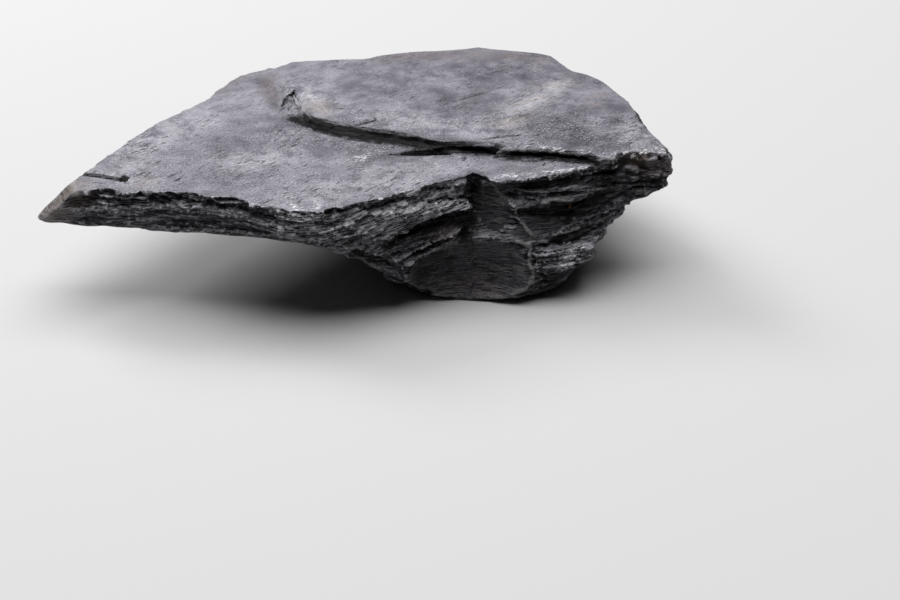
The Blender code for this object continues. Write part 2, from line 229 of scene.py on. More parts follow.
# Ledges of the front wall from left to right: route, how far the wall stands out above and below it,
# and the heights over which that fades upwards and downwards
LEDGES = (
    ([(-58, -36.5, 30.1), (-43, -36.5, 30.1), (-31, -40.3, 30.2), (-17, -46.5, 30)], 0.2, -1.1, 0.6, 1.6),
    ([(-69, -36, 25.6), (-60, -36.6, 26.8), (-49, -36.3, 27.2), (-36, -38.4, 28.2), (-25, -42, 27.3),
      (-13, -48, 27)], -0.5, 0.7, 1, 2.4),
    ([(-49, -37, 21.8), (-38, -38.5, 22.3), (-30, -40.4, 22.8), (-22, -43.4, 23.4), (-14, -48, 24.6),
      (-7, -47, 23.4)], -0.4, 0.8, 1.2, 1.2),
    ([(0, -43.5, 30.1), (7, -39.4, 29.8), (15, -34.2, 29.5), (26, -28.5, 29.8)], 0.2, -1.2, 0.6, 1.3),
    ([(2, -42.2, 27.9), (10, -37.8, 27.5), (16, -34.9, 26.9), (22, -31.3, 26.1), (28, -28.3, 25.4)],
     -0.6, 0.9, 1, 2.6),
    ([(4, -42.5, 21), (12, -38.1, 21.5), (18, -33.5, 22.1), (28, -27.8, 23)], 0.7, -1.8, 1.5, 2),
    ([(11, -39.6, 14.6), (16, -37.6, 16.9), (20, -36, 18.2), (25, -33, 19.2)], -0.7, 1, 1, 1.5),
    ([(11, -39.4, 12.2), (16, -36.4, 14.1), (20, -34.2, 15), (25, -32.4, 16)], 0.7, -1.2, 1.2, 1.5),
    ([(-8, -48, 25.2), (-3.7, -45.6, 26.7), (0, -43.9, 27.2), (5, -41, 27.7)], 0.5, -0.9, 1, 1),
    ([(-8, -47, 22.9), (-1.5, -44.3, 21.5), (7, -41.5, 20.1)], 0.5, -0.9, 0.8, 0.9),
    ([(-16, -48, 24.6), (-5.7, -46, 21.6), (2, -43.3, 18.9), (8, -40.7, 15.6), (12.6, -39.2, 12.6)],
     0.6, -1.1, 1.2, 1.9),
    ([(-6, -45, 19.4), (2, -43.4, 15.8), (6, -41, 12.6), (10.5, -38.6, 8.4)], -0.5, 0.7, 1, 1.5),
    ([(32.5, -28.8, 29.8), (42, -26.9, 29.8), (53, -24.2, 29.8), (64, -21, 30)], 0.2, -1.7, 0.6, 2.4),
    ([(34.5, -28, 25.4), (39, -28.8, 24.7), (43, -28.9, 24.7), (46, -28.7, 25.2), (53, -27.4, 24.7)],
     -0.7, 1.1, 1.7, 1.5),
    ([(52, -26.9, 26.4), (57.4, -24.6, 26), (65, -22.4, 25.6)], -0.4, 0.6, 1, 1.6),
    ([(52, -27.6, 19.5), (57.5, -25.4, 19.9), (63, -22.4, 19.5)], 0.6, -1, 1, 1.2),
    ([(43, -31.2, 16.3), (47.7, -30.3, 17), (50.1, -29.7, 17.3), (55, -28, 17.6)], -0.6, 0.8, 1, 1),
    ([(42.5, -32, 13.5), (48.4, -31, 14.2), (51.4, -30.2, 14.1), (59, -28, 13.7)], -0.7, 1.2, 0.9, 3),
    ([(45, -33, 9.2), (51, -31.5, 9), (57, -29, 9.6)], 0.4, -0.8, 1, 1.2),
    ([(26.5, -29.4, 17.7), (30.7, -29.3, 16.9), (34.3, -30.6, 16.5), (40, -31.4, 15.8)], -0.5, 0.5, 1, 1),
    ([(56, -21.5, 32), (63, -21.3, 32.4), (72, -20.3, 32.4), (78, -19, 32)], 1.1, 0.9, 3, 3),
)
LEDGE_REACH = (3.5, 7.0)  # distance before or behind a route at which its ledge fades
LEDGE_END = 3.0  # length over which a ledge runs out at both ends
LEDGE_WAVES = ((0.3, 1.7), (0.2, 3.9), (0.14, 8.3))  # height and pace of the waves along a lip
LEDGE_SHIFT = 9.0  # by which the waves are out of step, for each millimetre of their height

# Rims of the scooped break and of the notch over it, which stand out as worn ridges
SHELL_RIM = [(38, -31.3, 16.2), (41.6, -32, 14.1), (41.5, -33.5, 10.8), (42.5, -34.2, 8), (41.2, -35, 5.3)]
NOTCH_RIM = [(38.2, -28.4, 21), (40.1, -29.3, 19), (42.3, -31, 16.6)]

# Furrows and, with a negative depth, ridges of the front wall: route, half width, depth
FURROWS = (
    ([(27.6, -27, 31), (28.1, -26.6, 26.8), (28.3, -27, 24.3), (27.9, -27, 21.6), (27, -28.5, 19.4),
      (26.2, -30, 18)], 2.1, 3.4),
    ([(-69.5, -35.6, 27.6), (-65, -35.7, 28), (-60.5, -35.9, 28.4)], 2.2, 1.7),
    ([(51.3, -27.4, 20.6), (51.8, -27.2, 21.2)], 1.2, 2.2),
    ([(39.6, -28.4, 21.7), (45.2, -28.3, 21.7), (50.5, -27.4, 21.2)], 1.5, 1.2),
    ([(57.6, -28.2, 12.8), (58.4, -27, 10.2)], 1.6, 2),
    ([(-1.5, -44.8, 19), (3.2, -43.5, 17), (6.7, -41.1, 14.6), (10.2, -39.2, 11)], 1.1, 1.4),
    (SHELL_RIM + [(37, -35.4, 2.6)], 0.9, -0.7),
    ([(33.6, -28.4, 26.6), (38.1, -28.6, 24.2)] + NOTCH_RIM, 0.6, -0.8),
)
FURROW_FLOOR = 0.25  # share of the half width that lies at full depth
FURROW_ENDS = (6.0, 0.15)  # how fast a furrow opens from its ends, and its share of depth there
SQUASH = np.array((1.0, 0.3, 1.0))  # how distances count along the front wall, whose depth varies

# Cracks in the top: route, half width, depth
CRACKS = (
    ([(-68.6, -26, 31), (-61.4, -27.6, 31), (-56, -29.8, 31)], 0.95, 2),
    ([(-63.8, -31.5, 31), (-62, -31.2, 31), (-60.1, -31.9, 31)], 0.35, 0.5),
    ([(-56, -30.4, 31), (-54.4, -32.1, 31)], 0.4, 0.6),
    ([(7.6, -15.1, 31), (10, -15.3, 31), (14, -15.4, 31), (22, -15.1, 31)], 0.6, 0.9),
    ([(30.6, -11.6, 33.6), (34.6, -10.2, 33.6), (39, -9.1, 33.6)], 0.45, 1),
    ([(-1.5, -3.4, 33.6), (0.8, -1.9, 33.6), (3.6, -0.5, 33.6)], 0.6, 0.9),
    ([(20.5, 9.4, 33.6), (26.8, 14.2, 33.6), (32.5, 18.1, 33.6), (40, 25.4, 33.6)], 0.35, 0.4),
    ([(-20.8, 12.8, 32), (-19.3, 15.6, 32.6), (-17.5, 18.6, 33.3)], 0.6, 1.5),
    ([(-43.6, -27, 31), (-40.6, -20.5, 31)], 0.3, 0.3),
    ([(-30, -30, 31), (-27.5, -25.6, 31)], 0.3, 0.3),
)
CRACK_ENDS = (4.0, 0.04)  # as for the furrows
CRACK_FACING = 0.4  # cracks open only in faces that look up more than this
CRACK_SHADE = 0.75  # share of a crack's half width that is painted black, as shade in the crack

# Worn trough behind the left end of the cap: route, half width, depth
TROUGH = ([(-26.7, 37.0, 0), (-25.4, 27.7, 0), (-23.4, 18.4, 0), (-22.0, 12.0, 0)], 2.8, 0.8)
TROUGH_ROUNDS = 40  # rounds of smoothing,
TROUGH_SMOOTHNESS = 1.6  # and how widely they count
SWELLS = ((0.2, 24.0), (0.07, 6.0))  # height and length of the swells of the top

# Where the top begins, by how far up its faces look and by depths under its level
TOP_FACING = (0.5, 0.9)
TOP_DEPTHS = (2.5, 1.5)

# The same for its cleavage face. The break of the cap interrupts that, on its slopes and treads: its
# distances from the levels of slab and cap, and how softly it sets in
FACE_FACING = (0.6, 0.88)
FACE_DEPTHS = (1.6, 0.6)
CAP_SLOPES = (0.1, 0.1, 0.1)
SLOPE_FACING = (0.92, 0.98)
CAP_TREADS = (0.35, 0.4, 0.15)

# Edges and hollows: rounds of smoothing, and heights over or depths under the smoothed surface
# between which they set in. Edges are painted pale, partly as painted highlight, and hollows black as
# painted shade
EDGES = (2, 0.02, 0.12)
HOLLOWS = (16, 0.05, 0.5)

# Marks on the surface, some of them painted shade and painted highlight: route, radius, strength
SCUFFS = (
    ([(-33, -24.5, 31), (-27.1, -22, 31), (-22, -21, 31)], 3.6, 0.48),
    ([(-16, -16, 31), (-14, -16.8, 31)], 1.1, 1.2),
    ([(-3.6, -17, 31), (-0.7, -18.6, 31), (1.8, -15.5, 31)], 1, 1.2),
    ([(-14, -45, 31), (-9.6, -44.6, 31)], 2, 1),
    ([(37, -16, 33.6), (46.7, -16.9, 33.6), (60, -20.7, 33.6)], 1, 0.85),
    ([(33, -28.4, 31), (42, -26.6, 31), (50, -24.6, 31), (60, -21.6, 31)], 0.8, 1.1),
    ([(2, -42, 31), (14, -34.8, 31), (24, -29.2, 31)], 0.8, 0.75),
    ([(-46, -36.2, 31), (-30.5, -40.2, 31), (-18, -46.2, 31)], 0.8, 0.7),
    ([(45, -33, 9.5), (51, -32, 10.8), (56, -30, 12.4)], 2.4, 1.2),
    ([(4, -41.5, 26), (14, -36.5, 26.4), (25, -29.5, 25.6)], 2.2, 0.9),
    ([(62, -21, 33.6), (74, -18, 33)], 1.8, 0.8),
    ([(51.8, -27, 25.6), (52.6, -27, 26.4)], 0.7, 1.4),
    ([(-16, -47.5, 30.4), (-6, -46.5, 29.6), (2, -43, 29.8)], 1.1, 1),
    ([(54, -23.8, 31), (62, -21.4, 31.2)], 1.2, 1.2),
    ([(-16.5, 22, 33.6), (-12.4, 12, 33.6)], 3, 0.55),
    ([(34.2, -2.7, 33.6), (42, 9, 33.6), (50.1, 22.7, 33.6)], 2.8, 0.44),
)
BEIGE = (
    ([(36.6, -1, 33.6), (42.5, 9.8, 33.6), (50.6, 22, 33.6)], 3.4, 0.7),
    ([(-12.5, 9.5, 33.6), (-10, 6, 33.6)], 2.4, 0.9),
    ([(58, 10, 33.6), (60, 14, 33.6)], 2, 0.9),
    ([(-52, -33, 31), (-50, -30, 31)], 2, 0.6),
    ([(-75, -32.6, 24), (-68, -32, 29.5)], 4, 1.1),
)
BROWN = (
    ([(3.7, 39.5, 33.6), (27.5, 43.5, 33.6), (46, 40, 33.6)], 4, 0.8),
    ([(-37.8, 23.5, 31), (-34.7, 30.1, 31), (-30.5, 36.8, 31)], 1.6, 0.8),
    ([(-26.4, 34, 31.4), (-25.4, 27.7, 31.4), (-23, 17.5, 31.6)], 2.2, 1),
    ([(67.5, -21, 32), (74.5, -19, 30)], 2.2, 1.4),
    ([(19, -35.6, 18.4), (24, -32.5, 19.2)], 1.5, 1.1),
    ([(16, -37, 5), (30, -36, 4)], 4, 0.5),
    ([(58.6, -28, 13), (59.4, -26.6, 9)], 1.2, 1),
)
DUST = (
    ([(-57, -27, 31), (-53, -8, 31), (-46.5, 0.7, 31), (-41, 6.9, 31)], 6.5, 0.9),
    ([(-28, -19, 31), (-22, -17, 31)], 5.5, 0.8),
    ([(-14, -42, 31), (-6, -35.4, 31)], 6, 0.7),
    ([(4, -30, 31), (18, -23, 31)], 7.5, 0.8),
    ([(-16, 20, 33.6), (-9.4, 9.1, 33.6)], 5.5, 1),
    ([(4.7, 1, 33.6), (27.2, -6.3, 33.6)], 6, 0.8),
    ([(34.2, -2.7, 33.6), (50.1, 22.7, 33.6)], 3.6, 0.9),
    ([(69.3, -6.3, 33.6), (70, -12, 33.6)], 6, 0.8),
    ([(-18, -47, 27), (-6, -46, 26), (10, -39, 25), (26, -29, 25)], 4, 1),
    ([(-6, -46, 21), (4, -42, 20)], 2.5, 0.8),
    ([(-12, -47.5, 29.4), (-4, -45.5, 28.4), (3, -42.5, 28.8)], 1.6, 1),
    ([(-63, -36, 28.6), (-61.5, -36, 27.6)], 1.4, 1),
    ([(46, -33, 11.5), (57, -29, 12.5)], 2.2, 0.5),
    ([(-74, -33, 25.5), (-68.5, -33, 29)], 4, 1),
)
# Painted shade, with some grime: dark marks for the shade under the cap's riser, the tongue, the rim and the
# ledges, in the notch, the scooped break and on the right wall, and darker patches on the top
PAINTED_SHADE_AND_GRIME = (
    ([(-7, -7.5, 31), (6, -12, 31), (14, -17, 31)], 4.5, 0.7),
    ([(-37, -14, 31), (-33, -8, 31)], 5, 0.5),
    ([(40, -22.5, 31), (56, -21, 31)], 3, 0.7),
    ([(20.2, 11.6, 33.6), (22, 13, 33.6)], 3, 1.1),
    ([(33, 32, 33.6), (54, 24, 33.6)], 8.5, 0.8),
    ([(41, -2, 33.6), (58, -9, 33.6)], 8.5, 1),
    ([(-1, 29, 33.6), (10, 22, 33.6)], 7, 0.5),
    ([(-25.8, 30, 31.4), (-22, 15, 31.6)], 1.8, 0.8),
    ([(27.6, -27, 30.6), (28.1, -27, 22), (25.4, -30.5, 16.6)], 2.6, 1.1),
    ([(16, -36, 13), (20, -34, 12), (16, -36, 8)], 2.6, 1),
    ([(-18, 4.5, 31.4), (-12.6, 0.6, 32.2), (-6, -3.6, 32.2), (3.6, -7.2, 32.2), (14, -11.4, 32.2),
      (19, -14, 32), (33, -15, 32)], 2.2, 1.4),
    ([(36, -17.8, 32.2), (46, -18.6, 32.2), (58, -21.2, 32.2)], 1.5, 1),
    ([(9, -14.9, 31.1), (15, -14.9, 31.5), (22, -14.8, 32), (33, -15, 32)], 0.9, 1.2),
    ([(60, -23, 26), (56, -25.5, 22), (46, -28, 22.5)], 5, 1),
    ([(61.5, -21.5, 31), (65.5, -20.8, 31.4), (68.4, -20.6, 31.8)], 2.2, 1.2),
    ([(62, -21.5, 28), (72, -21, 26.5)], 2.8, 0.8),
    ([(47, -31, 15.6), (56, -28, 15.8)], 1.6, 0.9),
    ([(44, -34, 8), (50, -32, 6), (40, -33, 3)], 2.4, 0.8),
    ([(50, -12, 33.6), (66, -15, 33.6)], 7, 0.9),
    ([(54, 8, 33.6), (68, -4, 33.6)], 9, 0.8),
    ([(10, 14, 33.6), (30, 8, 33.6)], 9, 0.55),
    ([(44, -23, 31), (58, -21.4, 31)], 3, 0.5),
    ([(8, -40, 19), (16, -35.5, 20), (26, -29.5, 21.2)], 2.4, 0.9),
    ([(33, -28, 28.2), (60, -22.5, 28.2)], 1.5, 0.9),
    ([(-58, -36, 28.8), (-20, -45, 28.8)], 1.1, 0.8),
    ([(51.5, -27.3, 20.9), (52, -27.2, 22.6)], 1.3, 1.1),
    ([(46, -33, 7), (52, -31, 7)], 2.2, 0.9),
    ([(0, -44, 18), (9, -40, 12.5)], 1.4, 1),
)
# Pale lines along worn ridges and the lips of ledges: wear, and painted highlight where the lips catch the
# light
WORN_AND_HIGHLIT_EDGES = (
    (SHELL_RIM + [(36.3, -35.4, 2.2), (28.3, -34, 1.2), (18, -34, 1.4)], 0.5, 1),
    ([(32.5, -29.2, 30.2), (33.6, -27.1, 26.4), (38.1, -28.6, 24.4)] + NOTCH_RIM, 0.45, 1),
    ([(-16, -48, 25.2), (-5.7, -46, 22.2), (2, -43.3, 19.5), (8, -40.7, 16.2), (12.6, -39.2, 13)],
     0.45, 0.8),
    ([(-6, -45, 19.2), (2, -43.4, 15.6), (6, -41, 12.4), (10.5, -38.6, 8.2)], 0.5, 0.9),
    ([(34.5, -28, 25.3), (39, -28.8, 24.6), (43, -28.9, 24.6), (46, -28.7, 25.1), (52, -27.6, 24.7)],
     0.35, 1),
    ([(52, -26.9, 26.3), (57.4, -24.6, 25.9), (62, -23, 25.6)], 0.3, 0.8),
    ([(13, -38.9, 15.3), (16, -37.6, 16.8), (20, -36, 18.1), (25, -33, 19.1)], 0.45, 0.9),
    ([(47, -30.4, 16.9), (50.1, -29.7, 17.2), (53.5, -28.4, 17.5)], 0.4, 1),
    ([(-68, -36, 25.9), (-60, -36.6, 26.8)], 0.35, 0.9),
    ([(-49, -37, 21.8), (-30, -40.4, 22.8), (-14, -48, 24.6)], 0.3, 0.7),
    ([(26.5, -29.4, 17.6), (30.7, -29.3, 16.8), (34.3, -30.6, 16.4), (40, -31.4, 15.7)], 0.35, 0.7),
    ([(69.5, -21.9, 26.4), (70.2, -20.3, 22.2)], 0.4, 0.8),
)
RUST_FLECK = ((51.3, -26.7, 22.7), 0.3)

# Depth over which the crisp grain of the front of the top fades, and how much of it is left behind
FRONT_FADE = (-8.0, 16.0)
REAR_GRAIN = 0.4

# Directions on the cleavage face, in degrees from X: of its fine strokes and of its pale flecks
LINEATION = 50.0
FLECK_TURN = 28.0

# Patterns of the finish: size along each axis in millimetres, detail, roughness, turn, and whether
# they follow the bedding. The grains and the thinnest sheets of slate are finer than a tenth of a
# millimetre. The grain, fibres and streaks here are drawn coarser, so that they show.
PATTERNS = {
    "clouds": ((26, 22, 26), 5, 0.55, LINEATION, False),
    "patches": ((5, 5, 5), 10, 0.68, 0, False),
    "flakes": ((7, 4, 4), 6, 0.62, FLECK_TURN, False),
    "grain": ((0.5, 0.5, 0.5), 3, 0.75, 0, False),
    "strokes": ((2.8, 0.6, 0.6), 3, 0.6, LINEATION, False),
    "flecks": ((1.5, 0.45, 0.8), 3, 0.65, FLECK_TURN, False),
    "crowds": ((12, 9, 9), 2, 0.5, 0, False),
    "pits": ((1, 0.6, 0.8), 2, 0.5, LINEATION, False),
    "bands": ((15, 15, 2.2), 6, 0.68, 0, True),
    "stripes": ((9, 9, 0.6), 5, 0.7, 0, True),
    "fibres": ((2.6, 2.6, 0.26), 4, 0.72, 0, True),
    "streaks": ((5, 5, 0.3), 3, 0.6, 0, True),
}

# Colours laid over one another: where each lies, as patterns and shares with the values between
# which it sets in, its strength, and its colour
FACE_BASE = "#706f78"
FACE_COLOURS = (
    ((("clouds", 0.35, 0.65),), 1, "#918f99"),
    ((("patches", 0.5, 0.6),), 0.35, "#a9a7b0"),
    ((("patches", 0.47, 0.38),), 0.4, "#52515a"),
    ((("flakes", 0.53, 0.545),), 0.2, "#adabb4"),
    ((("flakes", 0.44, 0.425),), 0.22, "#504f58"),
    # Painted shadow before the cap's riser, and darker patches of the top where those marks lie on it
    ((("shade_and_grime", 0, 1), ("patches", 0.75, 0.38)), 0.85, "#45444c"),
    ((("dust", 0, 1), ("patches", 0.4, 0.56)), 0.65, "#b8b6be"),
    ((("grain", 0.56, 0.64), ("front", 0, 1), ("crowds", 0.38, 0.55)), 0.8, "#d2d0d6"),
    ((("grain", 0.45, 0.37), ("front", 0, 1), ("crowds", 0.6, 0.42)), 0.85, "#34333a"),
    ((("strokes", 0.6, 0.66), ("crowds", 0.46, 0.58), ("front", 0, 1), ("up", 0.8, 0.95)), 0.9,
     "#27262b"),
    ((("flecks", 0.62, 0.66), ("dust", 0.05, 0.6)), 0.8, "#d8d6dc"),
)
BROKEN_BASE = "#1c1b1f"
BROKEN_COLOURS = (
    ((("bands", 0.43, 0.57),), 0.9, "#413f45"),
    ((("stripes", 0.5, 0.56), ("bands", 0.38, 0.55)), 0.8, "#67656c"),
    ((("fibres", 0.54, 0.58), ("smooth", 1.3, 0)), 0.7, "#85838a"),
    ((("streaks", 0.56, 0.58), ("bands", 0.42, 0.54), ("smooth", 1.3, 0)), 0.9, "#cbc9cf"),
    # Treads of the broken wall that look up are painted paler: dust, and painted top light as if lit from
    # above
    ((("up", 0.4, 0.85), ("fibres", 0.42, 0.54), ("smooth", 1.1, 0), ("shade_and_grime", 0.7, 0.1)), 0.85,
     "#a5a3ab"),
    ((("dust", 0, 1), ("fibres", 0.5, 0.56)), 0.8, "#bcbac0"),
    # Pale edges: partly bruising, partly painted highlight where the edges catch the light
    ((("edge", 0, 1), ("grain", 0.44, 0.52)), 0.95, "#cfcdd2"),
    ((("smooth", 0.5, 1), ("patches", 0.35, 0.6)), 0.6, "#625f67"),
    ((("smooth", 0.5, 1), ("patches", 0.46, 0.36)), 0.6, "#111013"),
    ((("smooth", 0.5, 1), ("streaks", 0.5, 0.56), ("crowds", 0.3, 0.5)), 0.7, "#9a9694"),
    ((("smooth", 0.5, 1), ("grain", 0.58, 0.66)), 0.7, "#9b999f"),
    ((("fibres", 0.465, 0.43),), 0.85, "#0b0b0c"),
    # Painted shade: hollows of the broken wall are blackened
    ((("hollow_shade", 0, 1), ("smooth", 2, 0)), 0.85, "#0d0c0e"),
    # Painted shade: the broken wall is blackened under the riser, the rim and the ledges and in the notch
    ((("shade_and_grime", 0, 1),), 0.95, "#0e0d10"),
)
MARK_COLOURS = (
    # Painted shade: the cracks are black
    ((("crack", 0.3, 0.6),), 1, "#09080a"),
    ((("beige", 0, 1), ("flakes", 0.42, 0.54)), 0.5, "#a39688"),
    ((("brown", 0, 1), ("patches", 0.3, 0.6)), 0.55, "#6b5d55"),
    # Pale lines along ridges and lips: wear, and painted highlight where the lips catch the light
    ((("worn", 0.25, 0.75), ("flecks", 0.42, 0.52)), 0.75, "#a09e9e"),
    ((("scuff", 0.3, 0.6), ("flecks", 0.54, 0.565), ("patches", 0.44, 0.52)), 1, "#e9e8eb"),
    ((("rust", 0.3, 0.6),), 1, "#f2a24a"),
)

# Dry slate hardly shines: its mirroring, its roughness from the smoothest to the roughest patches, and
# the values of these patches
SPECULAR = 0.15
ROUGHNESS = (0.52, 0.72)
ROUGH_PATCHES = (0.3, 0.7)

# Relief too fine for the surface itself, laid like the colours, with its height in millimetres
FACE_RELIEF = (
    ((("strokes", 0.6, 0.66), ("crowds", 0.46, 0.58), ("up", 0.8, 0.95)), -0.2),
    ((("pits", 0.62, 0.72), ("front", 0, 1)), -0.16),
    ((("grain", 0, 1), ("front", -0.5, 1)), 0.2),
    ((("patches", 0, 1),), 0.25),
    ((("flakes", 0.5, 0.515), ("front", -0.3, 1)), 0.1),
    ((("flakes", 0.58, 0.595), ("front", -0.3, 1)), 0.1),
)
BROKEN_RELIEF = (
    ((("stripes", 0.3, 0.7),), 0.35),
    ((("fibres", 0.3, 0.7),), 0.3),
    ((("streaks", 0.54, 0.6),), 0.2),
    ((("grain", 0, 1),), 0.2),
)

# Sockets of a mix: its share, the colours or heights that it lays over one another, and the result
SHARE = 0
UNDER, OVER = 6, 7
HEIGHT_UNDER, HEIGHT_OVER = 2, 3
MIXED = 2

# Studio, in metres and watts: name, place, size and power of each soft light, then floor and room
LIGHTS = (
    ("overhead", (0.0, 0.22, 1.5), 1.7, 32),
    ("rear_key", (-0.7, 0.75, 0.8), 0.5, 9),
)
LIGHTS_AIM = (0.0, 0.0, 0.02)
FLOOR_SIZE = 6.0
FLOOR_COLOUR = "#cecece"
FLOOR_ROUGHNESS = 0.9
ROOM_LIGHT = 0.08


def smoothstep(low, high, value):
    """Rises softly from 0 to 1 between two values, for one number or an array."""
    part = np.clip((value - low) / (high - low), 0.0, 1.0)
    return part * part * (3 - 2 * part)


def run_out(along, pace, least):
    """Share of its size that a furrow has along its way, less and less towards both ends."""
    return np.sqrt(np.clip(pace * along * (1 - along), least, 1.0))


def deselect():
    bpy.ops.object.select_all(action="DESELECT")


def only(piece):
    """Selects the piece alone."""
    deselect()
    piece.select_set(True)
    bpy.context.view_layer.objects.active = piece


def apply_modifier(piece, kind, **settings):
    """Adds a modifier with its settings to the piece and applies it."""
    only(piece)
    modifier = piece.modifiers.new(kind.lower(), kind)
    for key, value in settings.items():
        setattr(modifier, key, value)
    bpy.ops.object.modifier_apply(modifier=modifier.name)


def cut_away(piece, cutter):
    """Takes the cutter's space out of the piece."""
    apply_modifier(piece, "BOOLEAN", operation="DIFFERENCE", object=cutter)
    bpy.data.objects.remove(cutter)


def prism(outline, low, high):
    """A block with the given plan between two levels."""
    deselect()
    bpy.ops.mesh.primitive_circle_add(vertices=len(outline), radius=MM, fill_type="NGON")
    block = bpy.context.object
    for vertex, (x, y) in zip(block.data.vertices, outline):
        vertex.co = (x * MM, y * MM, low * MM)
    bpy.ops.object.mode_set(mode="EDIT")
    bpy.ops.mesh.select_all(action="SELECT")
    bpy.ops.mesh.extrude_region_move(TRANSFORM_OT_translate={"value": (0, 0, (high - low) * MM)})
    bpy.ops.mesh.select_all(action="SELECT")
    bpy.ops.mesh.normals_make_consistent(inside=False)
    bpy.ops.object.mode_set(mode="OBJECT")
    return block


def ragged(outline, seed):
    """The outline with a point every RAGGED_STEP, each moved a little aside as broken edges run."""
    points = []
    for start, end in zip(outline, outline[1:]):
        start = Vector(start)
        run = Vector(end) - start
        aside = Vector((-run.y, run.x)).normalized()
        count = max(1, round(run.length / RAGGED_STEP))
        for part in range(count):
            point = start + run * (part / count)
            depth = RAGGED_DEPTH * (WORN_RAGGEDNESS if point.y > FIN_FRONT else 1.0)
            shift = depth * noise.noise(Vector((point.x, point.y, EDGE_STEP * seed)) / RAGGED_WAVE)
            points.append(tuple(point + aside * shift))
    return points + [outline[-1]]


def cap_cutters():
    """One block for each thin sheet of the cap: the space before its broken front."""
    cutters = []
    top = CAP_LEVEL + CLEAR_ABOVE
    for seed, (low, down) in enumerate(CAP_SHEETS, 1):
        front = [tuple(Vector(edge).lerp(Vector(foot), down)) for edge, foot in zip(CAP_EDGE, CAP_FOOT)]
        cutters.append(prism(ragged(front, seed) + CAP_FOREGROUND, low, top))
        top = low + OVERLAP
    return cutters


def tongue():
    """The thin sheet that rises out of the slab before the cap."""
    sheet = prism(TONGUE, TOP_LEVEL - TONGUE_ROOT, CAP_LEVEL)
    for vertex in sheet.data.vertices:
        if vertex.co.z > TOP_LEVEL * MM:
            vertex.co.z = float(np.interp(vertex.co.x / MM, TONGUE_RISE, TONGUE_LEVELS)) * MM
    return sheet


def ragged_ball(middle, radii, turn, seed):
    """A stretched ball with an uneven surface, for a gap or a chip."""
    deselect()
    bpy.ops.mesh.primitive_uv_sphere_add(
        segments=BALL_SEGMENTS, ring_count=BALL_SEGMENTS // 2, radius=1.0, location=Vector(middle) * MM,
        rotation=[math.radians(angle) for angle in turn], scale=Vector(radii) * MM)
    ball = bpy.context.object
    for vertex in ball.data.vertices:
        spot = vertex.co * GAP_WAVES + Vector((seed * GAP_STEP, 0, 0))
        vertex.co *= 1 + GAP_RAGGEDNESS * noise.noise(spot)
    return ball


def rim_chips():
    """Middle, radii and turn of the chips that broke out along the rim of the top."""
    chance = random.Random(RIM_CHIP_SEED)
    fine_from, fineness = FINE_RIM
    shapes = []
    for _ in range(RIM_CHIPS):
        number = chance.randrange(len(RIM) - 1)
        start, end = Vector(RIM[number]), Vector(RIM[number + 1])
        spot = start.lerp(end, chance.random())
        size = 1.0 if spot.x < fine_from else fineness
        middle = (spot.x, spot.y - chance.uniform(*RIM_CHIP_OUT), TOP_LEVEL - chance.uniform(*RIM_CHIP_DOWN))
        radii = [chance.uniform(*limits) * size for limits in RIM_CHIP_RADII]
        turn = [chance.uniform(-most, most) for most in RIM_CHIP_TILT]
        along = math.degrees(math.atan2(end.y - start.y, end.x - start.x))
        shapes.append((middle, radii, (*turn, along)))
    return shapes


def rough_stone():
    """A copy of the solid, with the cap's break cut into it, the thin sheet before the cap added, and
    the open gaps and chips cut out."""
    solid = frame["nodes"]["slate_rock"]
    stone = bpy.data.objects.new("slate_stone", solid.data.copy())
    bpy.context.scene.collection.objects.link(stone)
    stone.data.materials.clear()
    only(stone)
    bpy.ops.object.mode_set(mode="EDIT")
    bpy.ops.mesh.select_all(action="SELECT")
    bpy.ops.mesh.remove_doubles(threshold=SAME_POINT * MM)
    bpy.ops.object.mode_set(mode="OBJECT")
    for cutter in cap_cutters():
        cut_away(stone, cutter)
    sheet = tongue()
    apply_modifier(stone, "BOOLEAN", operation="UNION", object=sheet)
    bpy.data.objects.remove(sheet)
    for seed, shape in enumerate(list(GAPS) + rim_chips()):
        cut_away(stone, ragged_ball(*shape, seed))
    return stone


def bedding(place):
    """Level of a point along the bedding, in millimetres. The sheets wave gently. In the front wall
    they climb towards the notch, and the block under its middle dips steeply to the right."""
    x, y, z = place
    level = z + BED_WAVE * noise.noise(Vector((x / BED_LENGTH, y / BED_LENGTH, BED_SLICE)))
    if y > FRONT_WALL or x < BLOCK_LEFT:
        return level
    if x > NOTCH:
        return level - RIGHT_TILT * (x - BLOCK_LEFT)
    if x < HOLLOW_LEFT and z < BLOCK_TOP - BLOCK_TOP_DIP * (x - BLOCK_LEFT):
        return level + BLOCK_DIP * (x - BLOCK_LEFT)
    if z < HOLLOW_TOP:
        return level
    return level - CLIMB * max(0.0, x - CLIMB_FROM)


def sheet_levels():
    """For each order of layering, the levels at which one sheet ends and the next begins."""
    chance = random.Random(SHEET_SEED)
    orders = []
    for thinnest, thickest, _, _ in SHEETS:
        levels = [LEVELS_FROM]
        while levels[-1] < LEVELS_TO:
            levels.append(levels[-1] + chance.uniform(thinnest, thickest))
        orders.append(levels)
    return orders


def layered(place, level, slope, orders):
    """How far the broken edge stands out at a point, in millimetres: each sheet ends in a small
    upright face of its own, so that a sloping wall becomes a flight of steps."""
    x, y, _ = place
    stays, snapped = SNAPPED
    out = 0.0
    for order, (levels, (_, _, depth, length)) in enumerate(zip(orders, SHEETS)):
        number = bisect.bisect(levels, level)
        middle = (levels[number - 1] + levels[number]) / 2
        run = noise.noise(Vector((x / length, y / length, number * RUN_STEP + order * ORDER_STEP)))
        snap = noise.noise(Vector((x / length * SNAP_PACE, y / length * SNAP_PACE,
                                   number * SNAP_STEP + SNAP_START)))
        out += depth * (run + (stays if snap > SNAP_LIMIT else snapped))
        if order < UPRIGHT_ORDERS:
            out += UPRIGHTNESS * (level - middle) * slope
    return out


